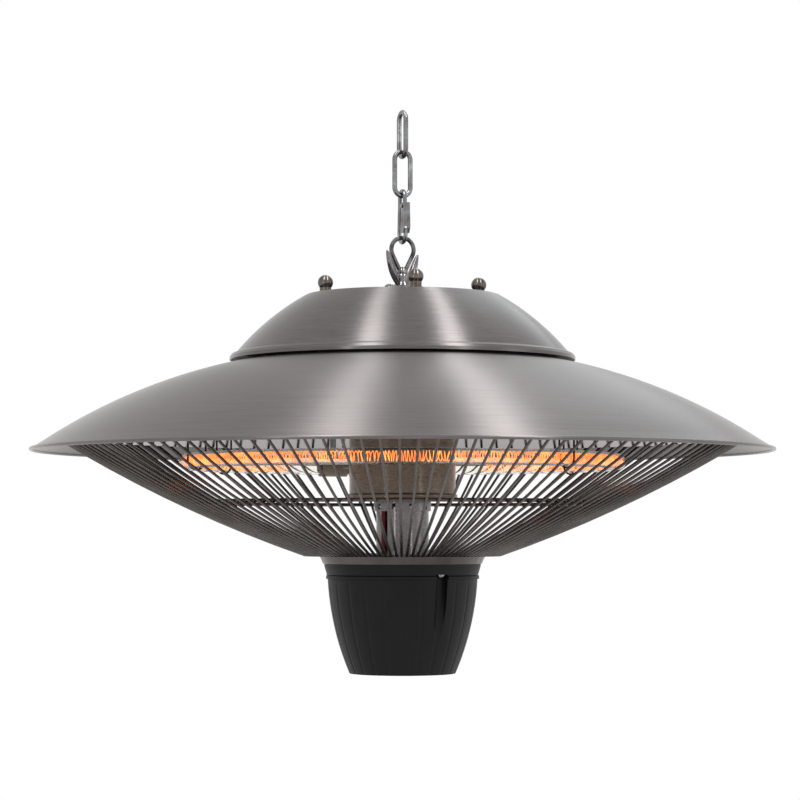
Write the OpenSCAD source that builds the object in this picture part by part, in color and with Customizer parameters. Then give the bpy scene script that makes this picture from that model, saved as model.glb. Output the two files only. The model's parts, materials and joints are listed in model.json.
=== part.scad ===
// Hanging electric patio heater: a steel shade and cap on a chain, a ring lamp behind a wire bowl,
// and a plastic control pot below. Millimetres, +Z up.
// The origin is the inner crown of the upper chain link, where a ceiling hook carries the heater.
// Heights with names that end in _z are measured from the plane of the shade's rim.

/* [Chain] */
// Wire thickness of a chain link
link_wire_d = 4; // [3:0.5:5]
// Inner length of a chain link
link_inner_l = 32; // [28:1:40]
// Inner width of a chain link
link_inner_w = 9.6; // [8.6:0.2:12]
// Turn of the chain about the vertical, in degrees
chain_turn = 23; // [0:1:40]
// Gap between two wires that hang on each other
wire_gap = 0.3; // [0.2:0.05:0.5]

/* [Snap hook] */
// Wire thickness of the hook
hook_wire_d = 3.4; // [3:0.1:3.8]
// Outer length of the hook
hook_outer_l = 45; // [42:1:54]
// Centre line radius of the hook's top bend
hook_top_r = 4.8; // [4.6:0.1:5.4]
// Centre line radius of the hook's bottom bend
hook_bottom_r = 6.4; // [5.8:0.1:7]
// Drop from the hook's top to its rivet
rivet_drop = 14.4; // [12:0.2:16]
// Height of the hook's nose above its bottom
nose_rise = 12.6; // [11:0.2:14]
// Rivet thickness
rivet_d = 2; // [1.6:0.1:2.4]
// Sheet thickness of the gate
gate_t = 0.8; // [0.6:0.1:1]
// Gap between the gate and the wire that it straddles
gate_gap = 0.35; // [0.25:0.05:0.5]

/* [Eye bolt] */
// Wire thickness of the eye
eye_wire_d = 3.6; // [3.2:0.1:4]
// Centre line radius of the eye
eye_r = 9.7; // [9:0.1:11]
// Height of the eye's top wire centre above the cap
eye_rise = 46.6; // [45:0.2:52]
// Thickness of the threaded shank
shank_d = 8; // [6:0.5:8]
// Length of the shank below the cap's top
shank_below = 16; // [14:0.5:22]
// Radial clearance round a bolt or stud
bolt_clear = 0.25; // [0.15:0.05:0.4]
// Outer width of the flat washer under the nut
washer_d = 22; // [18:1:26]
// Thickness of the flat washer
washer_t = 1.6; // [1.2:0.1:2.4]
// Width across the flats of the nuts on the shank
shank_nut_af = 13; // [11:0.5:14]
// Height of the nuts on the shank
shank_nut_h = 5; // [4:0.5:6]
// Height of the wing nut's boss
wing_boss_h = 10.4; // [9:0.2:11]
// Height of the wing nut to its wing tips
wing_h = 28.4; // [24:0.2:29]
// Radius to the wing tips
wing_tip_r = 22.6; // [20:0.2:25]
// Thickness of a wing
wing_t = 3.2; // [2.5:0.1:4]
// Turn of the wings about the vertical, in degrees
wing_turn = 54; // [0:1:180]

/* [Cap] */
// Height of the cap's flat top
cap_top_z = 123; // [115:1:130]
// Radius of the crease at the cap's foot
cap_foot_r = 132.5; // [126:0.5:140]
// Height of the crease at the cap's foot
cap_foot_z = 77.3; // [76:0.1:80]
// Steepness of the dome at its foot, in degrees
cap_foot_angle = 50; // [47:0.5:53]
// Radius of the dome's curve
cap_arc_r = 200; // [190:1:215]
// Radius of the shoulder round the flat top
cap_shoulder_r = 6; // [4:0.5:8]
// Sheet thickness of the cap
cap_t = 1; // [0.8:0.1:1.4]
// Width of the lip round the cap's foot
cap_lip_w = 5.9; // [4.5:0.1:7]
// Height of the lip
cap_lip_h = 6.9; // [6:0.1:7]
// Radius of the circle of studs
stud_circle_r = 62.4; // [58:0.2:64]
// Turn of the circle of studs, in degrees
stud_turn = 9.5; // [0:0.5:45]
// Thickness of a stud
stud_d = 6; // [5:0.5:6]
// Ball thickness of a ball nut
ball_d = 12.4; // [11:0.2:14]
// Height of the ball's centre above the cap
ball_rise = 9.4; // [9:0.2:12]
// Thickness of the plate under the cap's top
stiffener_t = 3; // [2:0.5:4]

/* [Shade] */
// Radius of the crease where the rim begins
shade_crease_r = 285.6; // [278:0.2:305]
// Height of that crease
shade_crease_z = 4.6; // [3.6:0.2:6]
// Steepness of the shade at the crease, in degrees
shade_crease_angle = 33.8; // [33:0.1:35]
// Radius of the shade's curve
shade_arc_r = 436; // [420:1:450]
// Radius of the shade's flat top, under the cap
shade_flat_r = 70; // [68:0.5:78]
// Sheet thickness of the shade
shade_t = 1; // [0.8:0.1:1.4]
// Width of the flat rim
rim_w = 9; // [7:0.2:12]
// Drop of the rim to its outer edge
rim_drop = 5.6; // [4:0.2:7]
// Thickness of the rolled edge
rim_bead_d = 3; // [2.2:0.1:3.6]
// Radius of the hole in the middle of the shade
shade_hole_r = 30; // [24:1:40]
// Thickness of the plate under the shade's top
hanger_t = 3; // [2:0.5:4]

/* [Reflector] */
// Height of the reflector's flat middle
reflector_z = 39; // [36:0.5:46]
// Radius of its flat middle
reflector_flat_r = 72; // [68:1:78]
// Outer radius of the reflector
reflector_r = 262; // [255:1:266]
// Height of the reflector's outer edge
reflector_edge_z = 8.4; // [7:0.2:11]
// Sheet thickness of the reflector
reflector_t = 0.8; // [0.6:0.1:1.2]

/* [Column] */
// Radius of the canister
canister_r = 42.5; // [38:0.5:46]
// Height of the canister's lower edge
canister_bottom_z = -36; // [-40:0.5:-30]
// Wall of the canister
canister_t = 1; // [0.8:0.1:1.5]
// Radius of the plate that closes the canister
canister_base_r = 44; // [43:0.5:48]
// Thickness of that plate
canister_base_h = 6; // [4:0.5:8]
// Radius of the collar
collar_r = 22.8; // [21.5:0.2:24]
// Height of the collar
collar_h = 8; // [6:0.5:10]
// Radius of the column tube
column_r = 21; // [19.5:0.1:21.2]
// Wall of the column tube and its collar
column_t = 1.2; // [1:0.1:2]
// Number of slots round the collar
collar_slots = 10; // [6:1:14]
// Width of a slot
collar_slot_w = 3; // [2:0.2:4]

/* [Lamp] */
// Radius of the lamp's ring
lamp_r = 172; // [160:1:178]
// Height of the lamp's ring
lamp_z = -11; // [-14:0.5:-6]
// Thickness of the quartz tube
quartz_d = 12.4; // [11:0.2:13]
// Wall of the quartz tube
quartz_t = 1.2; // [1:0.1:1.4]
// Direction of the middle of the lamp's gap, in degrees
lamp_gap_turn = 95.5; // [80:0.5:100]
// Half of the gap between the two ends of the glass, in degrees
glass_half_gap = 15.5; // [13:0.5:20]
// Half of the gap between the two ends of the coil, in degrees
coil_half_gap = 29.5; // [26:0.5:34]
// Wire thickness of the heating coil
coil_wire_d = 1; // [0.8:0.1:1.2]
// Gap between the heating coil and the glass
coil_gap = 0.4; // [0.3:0.05:0.6]
// Number of turns of the heating coil
coil_turns = 88; // [60:1:90]
// Thickness of a ceramic end
end_cap_d = 15.6; // [15:0.2:18]
// Length of a ceramic end, in degrees of the ring
end_cap_arc = 8; // [6:0.5:9]
// How much of the glass a ceramic end holds, in degrees of the ring
end_cap_hold = 3.4; // [2.5:0.1:4]
// Wire thickness of a lamp clip
clip_wire_d = 1.6; // [1.2:0.1:2]
// Gap between two pieces that are fixed together
seat_gap = 0.2; // [0.1:0.05:0.3]

/* [Grille] */
// Number of bars
bar_count = 120; // [90:2:130]
// Thickness of a bar
bar_d = 2.2; // [2.2:0.1:3]
// Radius of a bar's curve
bar_arc_r = 1040; // [950:1:1200]
// Radius of the point where a bar bends flat to the hub
bar_foot_r = 78; // [76:0.5:82]
// Height of that point
bar_foot_z = -85; // [-88:0.5:-82]
// Steepness of a bar just above that point, in degrees
bar_foot_angle = 19.3; // [18.6:0.1:20]
// Thickness of a bar's flat inner end, which is pressed a little thinner
bar_tail_d = 2; // [1.8:0.05:2.02]
// Radius of the bars' inner ends
bar_inner_r = 60; // [58:0.5:62]
// Radius of the middle ring
mid_ring_r = 173.5; // [165:0.5:185]
// Thickness of the middle ring
mid_ring_d = 3; // [2.5:0.1:4]
// Thickness of the top ring
top_ring_d = 4; // [3:0.1:4.6]

/* [Hub and control pot] */
// Upper radius of the hub ring
hub_r = 66; // [64:0.5:70]
// Height of the hub ring
hub_h = 5.7; // [4.5:0.1:7]
// Sheet thickness of the hub ring
hub_t = 1.5; // [1:0.1:2]
// Radius of the pot at its top
pot_r = 62.5; // [61.6:0.1:64]
// Height of the pot's stepped collar
pot_collar_h = 12; // [10:0.5:14]
// Radius of the pot below its collar
pot_body_r = 60.2; // [59:0.1:61]
// Height of the whole pot
pot_h = 87; // [80:1:95]
// Radius of the pot's barrel curve
pot_arc_r = 220; // [205:1:250]
// Wall of the pot
pot_t = 2.4; // [2:0.1:3]
// Radius of a screw channel
channel_r = 5; // [4.5:0.1:5.4]
// Radius of the circle of screw channels
channel_circle_r = 57.2; // [56.6:0.1:57.6]
// Direction of the first screw channel, in degrees
channel_turn = -59; // [-90:1:-30]
// Depth of the channels' tops below the pot's top
channel_top = 8; // [6:0.5:10]
// Length of the channels
channel_l = 54; // [45:1:60]
// Thickness of a pot screw
screw_d = 4; // [3.5:0.1:4.5]
// Thickness of the pot's base plate
base_t = 2.6; // [2:0.1:3.5]
// Radius of the power button
button_r = 6.5; // [5:0.1:8]
// Travel of the power button
button_travel = 1.5; // [1:0.1:2]
// Gap round the power button
button_gap = 0.3; // [0.2:0.05:0.5]
// Height of the control board above the base plate
board_rise = 22; // [18:0.5:26]
// Radius of the control board
board_r = 38; // [34:0.5:40]
// Thickness of the control board
board_t = 1.6; // [1.2:0.1:2]

/* [Cable inlet] */
// Bore of the cable gland
gland_bore_d = 8; // [6:0.5:9]
// Thickness of the gland's thread
gland_thread_d = 16; // [14:0.5:18]
// Width across the gland's flats
gland_af = 20; // [19:0.5:24]
// Height of the gland above the cap
gland_h = 8.5; // [7:0.5:9]
// Distance of the gland behind the middle
gland_back = 40; // [36:1:46]

/* [Hidden] */

// Small breaks between solids and overlaps inside one solid
eps = 0.01;
// Colours
steel_colour = [0.68, 0.68, 0.69];
zinc_colour = [0.72, 0.72, 0.7];
chrome_colour = [0.55, 0.55, 0.58];
nickel_colour = [0.6, 0.55, 0.5];
bar_colour = [0.32, 0.31, 0.3];
canister_colour = [0.5, 0.42, 0.34];
ceramic_colour = [0.85, 0.78, 0.65];
glow_colour = [1, 0.45, 0.1];
plastic_colour = [0.1, 0.1, 0.11];

// Heights down the chain, from the origin
link_mid_w = link_inner_w + link_wire_d;
link_joint_h = -link_inner_l - link_wire_d / 2;
lower_link_top_h = link_joint_h + link_wire_d + wire_gap;
hook_joint_h = lower_link_top_h - link_inner_l - link_wire_d;
hook_top_h = hook_joint_h + (link_wire_d + hook_wire_d) / 2 + wire_gap;
heater_joint_h = hook_top_h - hook_outer_l + hook_wire_d;
eye_top_h = heater_joint_h + (hook_wire_d + eye_wire_d) / 2 + wire_gap;
heater_h = eye_top_h - eye_rise - cap_top_z;

// Snap hook, in its own plane: x across, y up, from the origin
hook_top_c = hook_top_h - hook_top_r;
hook_bottom_c = heater_joint_h + hook_bottom_r;
hook_lean = asin((hook_bottom_r - hook_top_r) / (hook_top_c - hook_bottom_c));
rivet_h = hook_top_h + hook_wire_d / 2 - rivet_drop;
nose_h = heater_joint_h - hook_wire_d / 2 + nose_rise;
lug_r = rivet_d / 2 + 1.3;
lug_t = hook_wire_d - 0.5;
rivet_clear = 0.06;
rivet_head_t = 0.7;
gate_w = hook_wire_d + 2 * gate_gap + 2 * gate_t;
gate_top = 2.6;
gate_depth_in = 2.2;
gate_web_in = lug_r + gate_gap;
function gate_side(y) = hook_bottom_r / cos(hook_lean) - (y - hook_bottom_c) * tan(hook_lean);

// Eye and the nuts on its shank, heights above the cap's top
washer_seat = cap_top_z;
eye_nut_seat = washer_seat + washer_t;
wing_seat = eye_nut_seat + shank_nut_h;
wing_boss_top = wing_seat + wing_boss_h;
eye_c_z = cap_top_z + eye_rise - eye_r;
eye_neck_r = shank_d / 2 + 0.3;
eye_neck_z = wing_boss_top + 1.9;
eye_foot_x = shank_d / 4 - 0.2;
eye_foot_z = eye_neck_z;
eye_foot_l = norm([eye_foot_x, eye_c_z - eye_foot_z]);
eye_arc_low = -atan2(eye_c_z - eye_foot_z, eye_foot_x) + acos(eye_r / eye_foot_l);
shank_hole_r = shank_d / 2 + bolt_clear;

// Cap
cap_cx = cap_foot_r - cap_arc_r * sin(cap_foot_angle);
cap_cz = cap_foot_z - cap_arc_r * cos(cap_foot_angle);
cap_fillet_z = cap_top_z - cap_shoulder_r;
cap_fillet_reach = cap_arc_r - cap_shoulder_r;
cap_fillet_x = cap_cx + sqrt(pow(cap_fillet_reach, 2) - pow(cap_fillet_z - cap_cz, 2));
stiffener_z = cap_top_z - cap_t - stiffener_t;
stud_hole_r = stud_d / 2 + bolt_clear;
stud_nut_af = stud_d * 5 / 3;
stud_nut_h = 5;
spacer_r = stud_d / 2 + 2;

// Shade, hanger plate and reflector
shade_cx = shade_crease_r - shade_arc_r * sin(shade_crease_angle);
shade_cz = shade_crease_z - shade_arc_r * cos(shade_crease_angle);
shade_top_z = shade_cz + sqrt(pow(shade_arc_r, 2) - pow(shade_flat_r - shade_cx, 2));
hanger_z = shade_top_z - shade_t - hanger_t;
hanger_r = shade_flat_r - 0.5;
reflector_drop = reflector_z - reflector_edge_z;
reflector_span = reflector_r - reflector_flat_r;
reflector_arc_r = (pow(reflector_span, 2) + pow(reflector_drop, 2)) / (2 * reflector_drop);
reflector_cz = reflector_z - reflector_arc_r;
function reflector_under(r) = r < reflector_flat_r ? reflector_z - reflector_t
    : reflector_cz + sqrt(pow(reflector_arc_r - reflector_t, 2) - pow(r - reflector_flat_r, 2));
reflector_hole_r = 28;
stud_bottom_z = reflector_z - reflector_t - stud_nut_h - 3;

// Column
canister_top_z = reflector_z - reflector_t;
base_plate_z = canister_bottom_z - canister_base_h;
collar_bottom_z = base_plate_z - collar_h;
hub_top_z = bar_foot_z - bar_tail_d / 2 - seat_gap;
block_gap = 4;
lead_d = 3;
lead_turn = -132;

// Lamp
coil_r = quartz_d / 2 - quartz_t - coil_gap - coil_wire_d / 2;
glass_arc = 360 - 2 * glass_half_gap;
glass_start = lamp_gap_turn + glass_half_gap;
coil_arc = 360 - 2 * coil_half_gap;
coil_start = lamp_gap_turn + coil_half_gap;
end_cap_bore_gap = 0.1;
clip_angles = [-158, -44, 35, 150];
clip_bend_r = (quartz_d + clip_wire_d) / 2 + seat_gap;
bracket_w = 12;
bracket_t = 1.2;
bracket_foot = 10;

// Grille. The outer point where a circle about p with radius a meets a circle about q with radius b
function meet(p, a, q, b) =
    let (d = norm(q - p), e = (q - p) / d, l = (a * a - b * b + d * d) / (2 * d))
    p + l * e + sqrt(a * a - l * l) * [e[1], -e[0]];
bar_cx = bar_foot_r - bar_arc_r * sin(bar_foot_angle);
bar_cz = bar_foot_z + bar_arc_r * cos(bar_foot_angle);
shade_c = [shade_cx, shade_cz];
bar_c = [bar_cx, bar_cz];
bar_end = meet(shade_c, shade_arc_r - shade_t - bar_d / 2 - seat_gap, bar_c, bar_arc_r);
bar_top_angle = asin((bar_end[0] - bar_cx) / bar_arc_r);
bar_groups = 10;
mid_ring_reach = bar_arc_r - (bar_d + mid_ring_d) / 2 - seat_gap;
mid_ring_z = bar_cz - sqrt(pow(mid_ring_reach, 2) - pow(mid_ring_r - bar_cx, 2));
top_ring_c = meet(shade_c, shade_arc_r - shade_t - top_ring_d / 2 - seat_gap,
    bar_c, bar_arc_r - (bar_d + top_ring_d) / 2 - seat_gap);

// Hub and pot
pot_top_z = hub_top_z - hub_h;
pot_bottom_z = pot_top_z - pot_h;
pot_body_z = pot_top_z - pot_collar_h;
pot_cx = pot_body_r - pot_arc_r;
function pot_side(z) = pot_cx + sqrt(pow(pot_arc_r, 2) - pow(z - pot_top_z, 2));
channel_top_z = pot_top_z - channel_top;
channel_bottom_z = channel_top_z - channel_l;
boss_wall = 2.2;
screw_hole_r = screw_d / 2 + 0.15;
screw_head_r = screw_d * 0.9;
screw_head_h = 2.4;
base_z = pot_bottom_z + 1.2;
base_r = pot_side(base_z) - pot_t - seat_gap;
board_z = base_z + base_t + board_rise;
board_post_r = 3;
board_post_circle = 29;
post_hole_r = 1.6;
button_y = -15;
button_proud = 1.4;
button_flange_t = 1.5;
button_flange_r = button_r + 1.6;
button_flange_z = base_z + base_t + button_travel * 0.2;
button_stem_r = 2;
switch_h = 6;
switch_plunger_h = 1.2;
window_y = 14;
window_r = 5;
lens_r = 1.6;
lens_pitch = 7;
lens_y = 0;

// Pieces are placed from the rim plane with heater(), and from the origin otherwise.
module heater() {
    translate([0, 0, heater_h]) children();
}

// A plane through the vertical, turned by a, with x across and y up
module upright(a) {
    rotate([90, 0, a]) children();
}

// Part of a ring of round wire, from angle a to angle b
module wire_arc(r, d, a, b) {
    rotate([0, 0, a]) rotate_extrude(angle = b - a, $fn = 96) translate([r, 0]) circle(d = d, $fn = 32);
}

// Straight round wire between two points of a plane
module wire_line(p, q, d) {
    translate([p[0], p[1], 0])
        rotate([0, 90, atan2(q[1] - p[1], q[0] - p[0])])
            cylinder(h = norm(q - p), d = d, $fn = 32);
}

module hex(af, h) {
    cylinder(h = h, r = af / 2 / cos(30), $fn = 6);
}

module at_studs() {
    for (i = [0 : 3])
        rotate([0, 0, stud_turn + 90 * i]) translate([stud_circle_r, 0, 0]) children();
}

module at_channels() {
    for (i = [0 : 2])
        rotate([0, 0, channel_turn + 120 * i]) translate([channel_circle_r, 0, 0]) children();
}

module at_posts() {
    for (i = [0 : 2])
        rotate([0, 0, 60 + channel_turn + 120 * i]) translate([board_post_circle, 0, 0]) children();
}

// Part of a thin curved sheet in the plane of radius and height
module sheet_arc(cx, cz, r, t, from_r, to_r, low_z) {
    intersection() {
        translate([cx, cz]) difference() {
            circle(r = r, $fn = 360);
            circle(r = r - t, $fn = 360);
        }
        translate([from_r, low_z]) square([to_r - from_r, cz + r + 1 - low_z]);
    }
}

// Point i of n on a coil wound round a ring
function ring_point(i, n, turns, ring_r, r, start, arc) =
    let (a = start + arc * i / n, b = 360 * turns * i / n, s = ring_r + r * cos(b))
    [s * cos(a), s * sin(a), r * sin(b)];
function unit(v) = v / norm(v);

// Least gap between a wire's turns: points half a turn to one and a half turns apart, less the wire
function least_gap(points, per_turn, wire) =
    min([for (i = [0 : len(points) - 1])
        for (j = [i + per_turn / 2 : 1 : min(i + per_turn * 3 / 2, len(points) - 1)])
            norm(points[j] - points[i])]) - wire;

// Round wire along a row of points, as one closed mesh
module swept(points, d, sides) {
    n = len(points);
    rings = [for (i = [0 : n - 1])
        let (t = unit(points[min(i + 1, n - 1)] - points[max(i - 1, 0)]),
            up = abs(t[2]) > 0.9 ? [1, 0, 0] : [0, 0, 1],
            e = unit(cross(t, up)), f = cross(e, t))
        [for (k = [0 : sides - 1])
            let (a = 360 * k / sides) points[i] + d / 2 * (e * cos(a) - f * sin(a))]];
    verts = [for (ring = rings) for (p = ring) p];
    first = [for (k = [0 : sides - 1]) k];
    last = [for (k = [0 : sides - 1]) (n - 1) * sides + sides - 1 - k];
    sides_faces = [for (i = [0 : n - 2]) for (k = [0 : sides - 1])
        let (a = i * sides + k, b = i * sides + (k + 1) % sides)
        each [[a, a + sides, b], [b, a + sides, b + sides]]];
    polyhedron(points = verts, faces = concat([first], sides_faces, [last]), convexity = 10);
}

// Points along an arc about [0, cy] in the plane, from angle a to angle b
function arc_points(cy, r, a, b, n) =
    [for (i = [0 : n]) let (t = a + (b - a) * i / n) [r * cos(t), cy + r * sin(t), 0]];

// Chain link with its top wire's centre at top_h
module link(top_h) {
    r = link_mid_w / 2;
    l = link_inner_l + link_wire_d - link_mid_w;
    c = top_h - r;
    translate([0, c]) wire_arc(r, link_wire_d, 0, 180);
    translate([0, c - l]) wire_arc(r, link_wire_d, 180, 360);
    for (s = [-1, 1]) wire_line([s * r, c], [s * r, c - l], link_wire_d);
}

module chain_link_upper() {
    color(zinc_colour) upright(chain_turn - 90) link(link_wire_d / 2);
}

module chain_link_lower() {
    color(zinc_colour) upright(chain_turn) link(lower_link_top_h);
}

// Snap hook: bent wire with a rivet lug and a nose, and a spring gate between them
module snap_hook_body() {
    left = 180 - hook_lean;
    wire_end_h = rivet_h + lug_r * 0.6;
    path = concat([[gate_side(wire_end_h), wire_end_h, 0]],
        arc_points(hook_top_c, hook_top_r, hook_lean, left, 16),
        arc_points(hook_bottom_c, hook_bottom_r, left, 360 + hook_lean, 18),
        [[gate_side(nose_h), nose_h, 0]]);
    color(zinc_colour) upright(chain_turn - 90) difference() {
        union() {
            swept(path, hook_wire_d, 16);
            translate([gate_side(rivet_h), rivet_h, -lug_t / 2]) cylinder(h = lug_t, r = lug_r, $fn = 40);
        }
        translate([gate_side(rivet_h), rivet_h, -hook_wire_d])
            cylinder(h = 2 * hook_wire_d, d = rivet_d + 0.1, $fn = 32);
    }
}

module snap_hook_rivet() {
    color(chrome_colour) upright(chain_turn - 90) translate([gate_side(rivet_h), rivet_h, 0]) {
        translate([0, 0, -gate_w / 2 - 0.2]) cylinder(h = gate_w + 0.4, d = rivet_d, $fn = 32);
        for (z = [gate_w / 2 + 0.1, -gate_w / 2 - 0.1 - rivet_head_t])
            translate([0, 0, z]) cylinder(h = rivet_head_t, r = rivet_d / 2 + 0.7, $fn = 32);
    }
}

module snap_hook_gate() {
    l = rivet_h - nose_h;
    web = gate_web_in + gate_t;
    cheek = [[-gate_depth_in, gate_top - 0.8], [-1.4, gate_top], [web, gate_top], [web, -l + 1],
        [1.2, -l - 4], [-1.6, -l - 4], [-gate_depth_in, -l - 3.2]];
    color(zinc_colour) upright(chain_turn - 90) translate([gate_side(rivet_h), rivet_h, 0])
        rotate([0, 0, hook_lean]) difference() {
            union() {
                for (s = [-1, 1]) translate([0, 0, s * (gate_w - gate_t) / 2 - gate_t / 2])
                    linear_extrude(gate_t) polygon(cheek);
                translate([gate_web_in, -l + 1, -gate_w / 2]) cube([gate_t, l - 1 + gate_top, gate_w]);
            }
            translate([0, 0, -gate_w]) cylinder(h = 2 * gate_w, r = rivet_d / 2 + rivet_clear, $fn = 32);
        }
}

// Eye bolt: a pear-shaped eye on a threaded shank
module eye_bolt() {
    path = concat([[eye_foot_x, eye_foot_z, 0]],
        arc_points(eye_c_z, eye_r, eye_arc_low, 180 - eye_arc_low, 24), [[-eye_foot_x, eye_foot_z, 0]]);
    shank_low_z = cap_top_z - shank_below;
    color(chrome_colour) heater() {
        upright(chain_turn) swept(path, eye_wire_d, 16);
        translate([0, 0, eye_neck_z]) sphere(r = eye_neck_r, $fn = 64);
        translate([0, 0, shank_low_z]) cylinder(h = eye_neck_z - shank_low_z, d = shank_d, $fn = 48);
    }
}

// Wing nut: a flanged boss with two tall wings that stay clear of the eye
module wing_nut() {
    boss_r = shank_d / 2 + 2;
    flange_r = boss_r + 1.3;
    flange_h = 2.4;
    wing = [[boss_r - 0.8, 0.3], [boss_r + 1.5, 0.3], [boss_r + 5, 5], [wing_tip_r * 0.76, wing_h * 0.58],
        [wing_tip_r * 0.95, wing_h - 1.6], [wing_tip_r, wing_h - 0.4], [wing_tip_r - 1, wing_h],
        [wing_tip_r - 2.8, wing_h - 0.6], [wing_tip_r * 0.66, wing_h * 0.8], [boss_r + 4.4, wing_boss_h + 5],
        [boss_r + 1.4, wing_boss_h + 1.6], [boss_r - 0.8, wing_boss_h - 0.2]];
    color(chrome_colour) heater() translate([0, 0, wing_seat]) difference() {
        union() {
            cylinder(h = flange_h, r1 = flange_r, r2 = boss_r + 0.6, $fn = 48);
            translate([0, 0, flange_h - eps])
                cylinder(h = wing_boss_h - flange_h + eps, r1 = boss_r + 0.6, r2 = boss_r - 0.6, $fn = 48);
            for (s = [0, 180]) rotate([90, 0, wing_turn + s])
                translate([0, 0, -wing_t / 2]) linear_extrude(wing_t) polygon(wing);
        }
        translate([0, 0, -1]) cylinder(h = wing_h, d = shank_d + 0.1, $fn = 48);
    }
}

module eye_washer() {
    color(chrome_colour) heater() translate([0, 0, washer_seat]) difference() {
        cylinder(h = washer_t, d = washer_d, $fn = 64);
        translate([0, 0, -1]) cylinder(h = washer_t + 2, r = shank_hole_r, $fn = 48);
    }
}

module shank_nut(z) {
    color(chrome_colour) heater() translate([0, 0, z]) difference() {
        intersection() {
            hex(shank_nut_af, shank_nut_h);
            cylinder(h = shank_nut_h, r = shank_nut_af / 2 + 0.7, $fn = 48);
        }
        translate([0, 0, -1]) cylinder(h = shank_nut_h + 2, d = shank_d + 0.1, $fn = 48);
    }
}

module eye_nut() {
    shank_nut(eye_nut_seat);
}

module eye_lock_nut() {
    shank_nut(stiffener_z - shank_nut_h);
}

// Cap: a brushed dome with a flat top and a turned lip
module cap_region(inset) {
    r = cap_arc_r - inset;
    fillet = cap_shoulder_r - inset;
    join_z = cap_cz + r * (cap_fillet_z - cap_cz) / cap_fillet_reach;
    square([cap_fillet_x, cap_top_z - inset]);
    translate([cap_fillet_x, cap_fillet_z]) circle(r = fillet, $fn = 96);
    intersection() {
        translate([cap_cx, cap_cz]) circle(r = r, $fn = 360);
        square([cap_foot_r + 1, join_z]);
    }
}

module cap_holes() {
    translate([0, 0, cap_top_z - 20]) cylinder(h = 30, r = shank_hole_r, $fn = 48);
    at_studs() translate([0, 0, cap_top_z - 20]) cylinder(h = 30, r = stud_hole_r, $fn = 32);
    translate([0, gland_back, cap_top_z - 20])
        cylinder(h = 30, r = gland_thread_d / 2 + bolt_clear, $fn = 64);
}

module cap_cover() {
    lip_r = cap_foot_r + cap_lip_w;
    low_z = cap_foot_z - cap_lip_h;
    lip = [[cap_foot_r - 0.6, cap_foot_z - 0.1], [lip_r - 1.5, cap_foot_z - 2.2],
        [lip_r, cap_foot_z - 4.4], [lip_r, low_z], [lip_r - cap_t, low_z], [lip_r - cap_t, cap_foot_z - 4.8],
        [lip_r - 2.4, cap_foot_z - 3.2], [cap_foot_r - 0.6, cap_foot_z - 1]];
    color(steel_colour) heater() difference() {
        union() {
            rotate_extrude($fn = 180) intersection() {
                difference() {
                    cap_region(0);
                    cap_region(cap_t);
                }
                translate([0, cap_foot_z - 0.7]) square([cap_foot_r + 5, cap_top_z]);
            }
            rotate_extrude($fn = 180) polygon(lip);
        }
        cap_holes();
    }
}

module cap_stiffener() {
    color(zinc_colour) heater() difference() {
        translate([0, 0, stiffener_z]) cylinder(h = stiffener_t, r = cap_fillet_x - 1, $fn = 120);
        cap_holes();
    }
}

module ball_nuts() {
    neck_r = ball_d * 0.38;
    color(nickel_colour) heater() at_studs() translate([0, 0, cap_top_z]) difference() {
        union() {
            cylinder(h = 1.2, r = neck_r + 0.8, $fn = 48);
            cylinder(h = ball_rise - ball_d * 0.3, r = neck_r, $fn = 48);
            translate([0, 0, ball_rise]) sphere(d = ball_d, $fn = 64);
        }
        translate([0, 0, -1]) cylinder(h = 1 + ball_rise * 0.8, d = stud_d + 0.1, $fn = 32);
    }
}

module cap_studs() {
    top_z = cap_top_z + ball_rise * 0.6;
    color(zinc_colour) heater() at_studs() translate([0, 0, stud_bottom_z])
        cylinder(h = top_z - stud_bottom_z, d = stud_d, $fn = 32);
}

module spacers(low_z, high_z) {
    color(zinc_colour) heater() at_studs() translate([0, 0, low_z]) difference() {
        cylinder(h = high_z - low_z, r = spacer_r, $fn = 40);
        translate([0, 0, -1]) cylinder(h = high_z - low_z + 2, r = stud_hole_r, $fn = 32);
    }
}

module cap_spacers() {
    spacers(shade_top_z, stiffener_z);
}

module reflector_spacers() {
    spacers(reflector_z, hanger_z);
}

module stud_nuts() {
    low_z = reflector_z - reflector_t - stud_nut_h;
    color(zinc_colour) heater() at_studs() translate([0, 0, low_z]) difference() {
        hex(stud_nut_af, stud_nut_h);
        translate([0, 0, -1]) cylinder(h = stud_nut_h + 2, d = stud_d + 0.1, $fn = 32);
    }
}

// Cable gland on the cap's top, behind the eye
module cable_gland() {
    thread_low = cap_top_z - cap_t - stiffener_t - 8;
    color(plastic_colour) heater() translate([0, gland_back, 0]) difference() {
        union() {
            translate([0, 0, cap_top_z]) hex(gland_af, 3.5);
            translate([0, 0, cap_top_z + 3.4])
                cylinder(h = gland_h - 3.4, r1 = gland_af / 2 - 0.6, r2 = gland_bore_d / 2 + 2.4, $fn = 64);
            translate([0, 0, thread_low])
                cylinder(h = cap_top_z - thread_low + 1, d = gland_thread_d, $fn = 64);
        }
        translate([0, 0, thread_low - 1]) cylinder(h = gland_h + 40, d = gland_bore_d, $fn = 48);
    }
}

module gland_lock_nut() {
    h = 4;
    color(plastic_colour) heater() translate([0, gland_back, stiffener_z - h]) difference() {
        hex(gland_af, h);
        translate([0, 0, -1]) cylinder(h = h + 2, d = gland_thread_d + 0.1, $fn = 64);
    }
}

// Shade: a shallow brushed dome with a flat top, a creased rim and a rolled edge
module shade_region(inset) {
    intersection() {
        translate([shade_cx, shade_cz]) circle(r = shade_arc_r - inset, $fn = 360);
        square([shade_crease_r + 1, shade_top_z - inset]);
    }
}

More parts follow.
